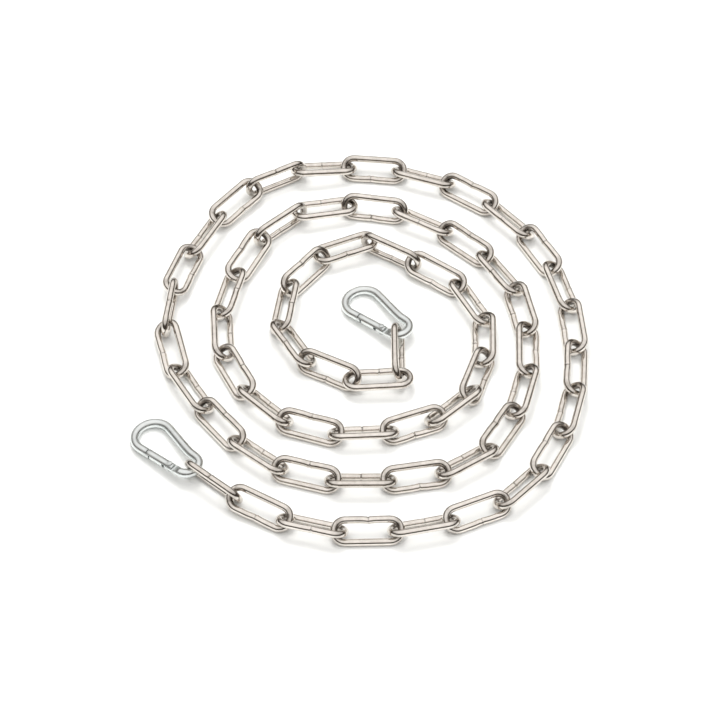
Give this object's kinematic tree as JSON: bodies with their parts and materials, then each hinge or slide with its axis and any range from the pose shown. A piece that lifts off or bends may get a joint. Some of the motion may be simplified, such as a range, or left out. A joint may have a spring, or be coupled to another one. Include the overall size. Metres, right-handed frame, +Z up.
{
  "type": "chain with snap hooks",
  "caption": "Long-link steel chain with a spring-gated snap hook at each end, laid flat in a spiral; it ties a gate, boat or load to an eye or ring.",
  "frame": {"origin": "middle of the bounding box of the laid-down spiral, on the plane it lies on", "axes": "+Z up from the ground, +X to the right and +Y away from the viewer who has the two hooks pointing up and to the left"},
  "size_m": [0.2531, 0.2774, 0.016],
  "materials": {
    "chain_steel": "polished",
    "zinc_plated_steel": "satin",
    "rivet_steel": "satin",
    "spring_steel": "plain"
  },
  "bodies": {
    "outer_hook": {"outer_hook_body": "zinc_plated_steel", "outer_gate_rivet": "rivet_steel"},
    "outer_gate": {"outer_gate": "zinc_plated_steel", "outer_gate_spring": "spring_steel"},
    "link_01": {"link_01": "chain_steel"},
    "link_02": {"link_02": "chain_steel"},
    "link_03": {"link_03": "chain_steel"},
    "link_04_05": {"link_04_05": "chain_steel"},
    "link_06": {"link_06": "chain_steel"},
    "link_07": {"link_07": "chain_steel"},
    "link_08_09": {"link_08_09": "chain_steel"},
    "link_10": {"link_10": "chain_steel"},
    "link_11": {"link_11": "chain_steel"},
    "link_12_13": {"link_12_13": "chain_steel"},
    "link_14": {"link_14": "chain_steel"},
    "link_15": {"link_15": "chain_steel"},
    "link_16_17": {"link_16_17": "chain_steel"},
    "link_18": {"link_18": "chain_steel"},
    "link_19": {"link_19": "chain_steel"},
    "link_20": {"link_20": "chain_steel"},
    "link_21": {"link_21": "chain_steel"},
    "link_22": {"link_22": "chain_steel"},
    "link_23": {"link_23": "chain_steel"},
    "link_24": {"link_24": "chain_steel"},
    "link_25_26": {"link_25_26": "chain_steel"},
    "link_27": {"link_27": "chain_steel"},
    "link_28_29": {"link_28_29": "chain_steel"},
    "link_30": {"link_30": "chain_steel"},
    "link_31": {"link_31": "chain_steel"},
    "link_32_33": {"link_32_33": "chain_steel"},
    "link_34": {"link_34": "chain_steel"},
    "link_35_36": {"link_35_36": "chain_steel"},
    "link_37": {"link_37": "chain_steel"},
    "link_38": {"link_38": "chain_steel"},
    "link_39": {"link_39": "chain_steel"},
    "link_40": {"link_40": "chain_steel"},
    "link_41": {"link_41": "chain_steel"},
    "link_42_43": {"link_42_43": "chain_steel"},
    "link_44": {"link_44": "chain_steel"},
    "link_45": {"link_45": "chain_steel"},
    "link_46": {"link_46": "chain_steel"},
    "link_47_48": {"link_47_48": "chain_steel"},
    "link_49": {"link_49": "chain_steel"},
    "link_50": {"link_50": "chain_steel"},
    "link_51": {"link_51": "chain_steel"},
    "link_52": {"link_52": "chain_steel"},
    "link_53": {"link_53": "chain_steel"},
    "link_54": {"link_54": "chain_steel"},
    "link_55": {"link_55": "chain_steel"},
    "link_56": {"link_56": "chain_steel"},
    "link_57": {"link_57": "chain_steel"},
    "link_58": {"link_58": "chain_steel"},
    "link_59": {"link_59": "chain_steel"},
    "link_60": {"link_60": "chain_steel"},
    "link_61": {"link_61": "chain_steel"},
    "link_62": {"link_62": "chain_steel"},
    "inner_hook": {"inner_hook_body": "zinc_plated_steel", "inner_gate_rivet": "rivet_steel"},
    "inner_gate": {"inner_gate": "zinc_plated_steel", "inner_gate_spring": "spring_steel"}
  },
  "joints": [
    {"name": "outer_gate_hinge", "type": "hinge", "parent": "outer_hook", "child": "outer_gate", "pos_m": [-0.10285, -0.0892, 0.00623], "axis": [0.0827, -0.0771, -0.9936], "range_deg": [0, 32], "stiffness_Nm_per_rad": 0.01, "springref_deg": -11.46},
    {"name": "inner_gate_hinge", "type": "hinge", "parent": "inner_hook", "child": "inner_gate", "pos_m": [0.01168, 0.0069, 0.0064], "axis": [0.0865, -0.0807, -0.993], "range_deg": [0, 32], "stiffness_Nm_per_rad": 0.01, "springref_deg": -11.46},
    {"name": "inner_hook_swing", "type": "hinge", "parent": "link_62", "child": "inner_hook", "pos_m": [0.02069, 0.00668, 0.00764], "axis": [-0.342, -0.0024, 0.9397], "range_deg": [-25, 40]},
    {"name": "link_01_on_outer_hook", "type": "hinge", "parent": "outer_hook", "child": "link_01", "pos_m": [-0.08881, -0.09234, 0.00764], "axis": [0.6357, 0.7719, -0.007], "range_deg": [-25, 25]},
    {"name": "link_02_on_link_01", "type": "hinge", "parent": "link_01", "child": "link_02", "pos_m": [-0.06511, -0.11186, 0.00764], "axis": [0.2174, 0.264, -0.9397], "range_deg": [-11.5, 40]},
    {"name": "link_03_on_link_02", "type": "hinge", "parent": "link_02", "child": "link_03", "pos_m": [-0.03801, -0.12532, 0.00523], "axis": [0.4155, 0.7072, 0.5721], "range_deg": [-25, 40]},
    {"name": "link_04_05_on_link_03", "type": "hinge", "parent": "link_03", "child": "link_04_05", "pos_m": [-0.0086, -0.13227, 0.00544], "axis": [0.2054, 0.793, -0.5736], "range_deg": [-25, 40]},
    {"name": "link_06_on_link_04_05", "type": "hinge", "parent": "link_04_05", "child": "link_06", "pos_m": [0.05098, -0.12398, 0.00544], "axis": [-0.1686, 0.8016, -0.5736], "range_deg": [-25, 40]},
    {"name": "link_07_on_link_06", "type": "hinge", "parent": "link_06", "child": "link_07", "pos_m": [0.0784, -0.1115, 0.00544], "axis": [-0.3248, 0.752, 0.5736], "range_deg": [-25, 40]},
    {"name": "link_08_09_on_link_07", "type": "hinge", "parent": "link_07", "child": "link_08_09", "pos_m": [0.09866, -0.08917, 0.00544], "axis": [-0.5854, 0.573, -0.5736], "range_deg": [-25, 40]},
    {"name": "link_10_on_link_08_09", "type": "hinge", "parent": "link_08_09", "child": "link_10", "pos_m": [0.11905, -0.03283, 0.00544], "axis": [-0.791, 0.2129, -0.5736], "range_deg": [-25, 40]},
    {"name": "link_11_on_link_10", "type": "hinge", "parent": "link_10", "child": "link_11", "pos_m": [0.12085, -0.00264, 0.00544], "axis": [-0.8167, 0.0633, 0.5736], "range_deg": [-25, 40]},
    {"name": "link_12_13_on_link_11", "type": "hinge", "parent": "link_11", "child": "link_12_13", "pos_m": [0.11794, 0.02748, 0.00544], "axis": [-0.8165, -0.0663, -0.5736], "range_deg": [-25, 40]},
    {"name": "link_14_on_link_12_13", "type": "hinge", "parent": "link_12_13", "child": "link_14", "pos_m": [0.09439, 0.08271, 0.00544], "axis": [-0.7203, -0.3901, -0.5736], "range_deg": [-25, 40]},
    {"name": "link_15_on_link_14", "type": "hinge", "parent": "link_14", "child": "link_15", "pos_m": [0.07392, 0.10488, 0.00544], "axis": [-0.614, -0.5423, 0.5736], "range_deg": [-25, 40]},
    {"name": "link_16_17_on_link_15", "type": "hinge", "parent": "link_15", "child": "link_16_17", "pos_m": [0.0487, 0.12142, 0.00544], "axis": [-0.4652, -0.6743, -0.5736], "range_deg": [-25, 40]},
    {"name": "link_18_on_link_16_17", "type": "hinge", "parent": "link_16_17", "child": "link_18", "pos_m": [-0.01014, 0.1326, 0.00544], "axis": [-0.0763, -0.8156, -0.5736], "range_deg": [-18, 20]},
    {"name": "link_19_on_link_18", "type": "hinge", "parent": "link_18", "child": "link_19", "pos_m": [-0.03979, 0.12777, 0.00825], "axis": [0.1614, -0.885, 0.4368], "range_deg": [-18, 12.5]},
    {"name": "link_20_on_link_19", "type": "hinge", "parent": "link_19", "child": "link_20", "pos_m": [-0.06115, 0.11631, 0.00818], "axis": [0.6903, -0.5878, -0.4218], "range_deg": [-12.5, 32.5]},
    {"name": "link_21_on_link_20", "type": "hinge", "parent": "link_20", "child": "link_21", "pos_m": [-0.08521, 0.08963, 0.00598], "axis": [0.6903, -0.5878, -0.4218], "range_deg": [-18, 40]},
    {"name": "link_22_on_link_21", "type": "hinge", "parent": "link_21", "child": "link_22", "pos_m": [-0.09854, 0.06256, 0.00617], "axis": [0.6373, -0.3337, 0.6947], "range_deg": [-18, 14]},
    {"name": "link_23_on_link_22", "type": "hinge", "parent": "link_22", "child": "link_23", "pos_m": [-0.10728, 0.03367, 0.00817], "axis": [0.876, -0.3047, -0.3739], "range_deg": [-18, 40]},
    {"name": "link_24_on_link_23", "type": "hinge", "parent": "link_23", "child": "link_24", "pos_m": [-0.11044, 0.0095, 0.00826], "axis": [0.8708, 0.1927, 0.4523], "range_deg": [-18, 10]},
    {"name": "link_25_26_on_link_24", "type": "hinge", "parent": "link_24", "child": "link_25_26", "pos_m": [-0.10118, -0.02515, 0.00519], "axis": [0.8708, 0.1927, 0.4523], "range_deg": [-15, 30]},
    {"name": "link_27_on_link_25_26", "type": "hinge", "parent": "link_25_26", "child": "link_27", "pos_m": [-0.06567, -0.07387, 0.00544], "axis": [0.6379, 0.5139, 0.5736], "range_deg": [-25, 40]},
    {"name": "link_28_29_on_link_27", "type": "hinge", "parent": "link_27", "child": "link_28_29", "pos_m": [-0.04148, -0.09185, 0.00544], "axis": [0.503, 0.6465, -0.5736], "range_deg": [-25, 14]},
    {"name": "link_30_on_link_28_29", "type": "hinge", "parent": "link_28_29", "child": "link_30", "pos_m": [0.01792, -0.09803, 0.00544], "axis": [-0.0017, 0.8192, -0.5736], "range_deg": [-25, 30]},
    {"name": "link_31_on_link_30", "type": "hinge", "parent": "link_30", "child": "link_31", "pos_m": [0.04749, -0.09244, 0.00544], "axis": [-0.139, 0.8073, 0.5736], "range_deg": [-22.5, 40]},
    {"name": "link_32_33_on_link_31", "type": "hinge", "parent": "link_31", "child": "link_32_33", "pos_m": [0.07224, -0.07535, 0.00544], "axis": [-0.4391, 0.6915, -0.5736], "range_deg": [-25, 40]},
    {"name": "link_34_on_link_32_33", "type": "hinge", "parent": "link_32_33", "child": "link_34", "pos_m": [0.09368, -0.01966, 0.00544], "axis": [-0.7893, 0.2192, -0.5736], "range_deg": [-25, 40]},
    {"name": "link_35_36_on_link_34", "type": "hinge", "parent": "link_34", "child": "link_35_36", "pos_m": [0.09391, 0.01049, 0.00544], "axis": [-0.8188, 0.0254, 0.5736], "range_deg": [-25, 40]},
    {"name": "link_37_on_link_35_36", "type": "hinge", "parent": "link_35_36", "child": "link_37", "pos_m": [0.07, 0.06462, 0.00544], "axis": [-0.6906, -0.4405, 0.5736], "range_deg": [-25, 40]},
    {"name": "link_38_on_link_37", "type": "hinge", "parent": "link_37", "child": "link_38", "pos_m": [0.04698, 0.08401, 0.00544], "axis": [-0.5448, -0.6117, -0.5736], "range_deg": [-25, 40]},
    {"name": "link_39_on_link_38", "type": "hinge", "parent": "link_38", "child": "link_39", "pos_m": [0.02008, 0.09748, 0.00686], "axis": [-0.3622, -0.7351, 0.573], "range_deg": [-25, 40]},
    {"name": "link_40_on_link_39", "type": "hinge", "parent": "link_39", "child": "link_40", "pos_m": [-0.00977, 0.10131, 0.00673], "axis": [-0.0979, -0.6078, -0.788], "range_deg": [-5, 10]},
    {"name": "link_41_on_link_40", "type": "hinge", "parent": "link_40", "child": "link_41", "pos_m": [-0.03882, 0.09406, 0.00814], "axis": [0.2101, -0.9622, 0.1735], "range_deg": [-25, 40]},
    {"name": "link_42_43_on_link_41", "type": "hinge", "parent": "link_41", "child": "link_42_43", "pos_m": [-0.05641, 0.07758, 0.00825], "axis": [0.8451, -0.412, -0.3408], "range_deg": [-20, 40]},
    {"name": "link_44_on_link_42_43", "type": "hinge", "parent": "link_42_43", "child": "link_44", "pos_m": [-0.07952, 0.0164, 0.00607], "axis": [0.7987, -0.1823, 0.5735], "range_deg": [-25, 40]},
    {"name": "link_45_on_link_44", "type": "hinge", "parent": "link_44", "child": "link_45", "pos_m": [-0.07659, -0.01352, 0.00602], "axis": [0.7415, 0.05, -0.6691], "range_deg": [-25, 40]},
    {"name": "link_46_on_link_45", "type": "hinge", "parent": "link_45", "child": "link_46", "pos_m": [-0.06201, -0.03982, 0.00602], "axis": [0.7317, 0.3683, 0.5736], "range_deg": [-25, 40]},
    {"name": "link_47_48_on_link_46", "type": "hinge", "parent": "link_46", "child": "link_47_48", "pos_m": [-0.03973, -0.05983, 0.00602], "axis": [0.5153, 0.5354, -0.6691], "range_deg": [-25, 24]},
    {"name": "link_49_on_link_47_48", "type": "hinge", "parent": "link_47_48", "child": "link_49", "pos_m": [0.01925, -0.0649, 0.00544], "axis": [-0.0403, 0.8182, -0.5736], "range_deg": [-25, 25]},
    {"name": "link_50_on_link_49", "type": "hinge", "parent": "link_49", "child": "link_50", "pos_m": [0.0457, -0.05399, 0.00574], "axis": [-0.2925, 0.7652, 0.5736], "range_deg": [-7.5, 40]},
    {"name": "link_51_on_link_50", "type": "hinge", "parent": "link_50", "child": "link_51", "pos_m": [0.06416, -0.03528, 0.00627], "axis": [-0.5169, 0.5949, -0.6155], "range_deg": [-25, 2.5]},
    {"name": "link_52_on_link_51", "type": "hinge", "parent": "link_51", "child": "link_52", "pos_m": [0.07026, -0.00988, 0.00617], "axis": [-0.6784, 0.2391, 0.6947], "range_deg": [-25, 40]},
    {"name": "link_53_on_link_52", "type": "hinge", "parent": "link_52", "child": "link_53", "pos_m": [0.06957, 0.01766, 0.00535], "axis": [-0.8192, 0.0111, -0.5734], "range_deg": [-25, 40]},
    {"name": "link_54_on_link_53", "type": "hinge", "parent": "link_53", "child": "link_54", "pos_m": [0.05412, 0.04297, 0.00544], "axis": [-0.7236, -0.3839, 0.5736], "range_deg": [-17.5, 32.5]},
    {"name": "link_55_on_link_54", "type": "hinge", "parent": "link_54", "child": "link_55", "pos_m": [0.02767, 0.05742, 0.00825], "axis": [-0.4812, -0.6885, -0.5427], "range_deg": [-15, 15]},
    {"name": "link_56_on_link_55", "type": "hinge", "parent": "link_55", "child": "link_56", "pos_m": [0.00774, 0.07363, 0.00818], "axis": [0.3475, -0.9319, 0.1044], "range_deg": [-25, 40]},
    {"name": "link_57_on_link_56", "type": "hinge", "parent": "link_56", "child": "link_57", "pos_m": [-0.02589, 0.0609, 0.00642], "axis": [0.3475, -0.9319, 0.1044], "range_deg": [-25, 7.5]},
    {"name": "link_58_on_link_57", "type": "hinge", "parent": "link_57", "child": "link_58", "pos_m": [-0.04294, 0.03553, 0.0066], "axis": [0.4965, -0.4082, -0.766], "range_deg": [-25, 40]},
    {"name": "link_59_on_link_58", "type": "hinge", "parent": "link_58", "child": "link_59", "pos_m": [-0.04592, 0.00583, 0.00595], "axis": [0.7321, -0.1285, 0.669], "range_deg": [-25, 40]},
    {"name": "link_60_on_link_59", "type": "hinge", "parent": "link_59", "child": "link_60", "pos_m": [-0.02886, -0.01894, 0.00666], "axis": [0.7117, 0.4057, -0.5735], "range_deg": [-25, 40]},
    {"name": "link_61_on_link_60", "type": "hinge", "parent": "link_60", "child": "link_61", "pos_m": [-0.00174, -0.03066, 0.0066], "axis": [0.2908, 0.5732, 0.766], "range_deg": [-7.5, 20]},
    {"name": "link_62_on_link_61", "type": "hinge", "parent": "link_61", "child": "link_62", "pos_m": [0.02741, -0.0292, 0.00779], "axis": [-0.0302, 0.9898, -0.1391], "range_deg": [-12.5, 5]}
  ]
}
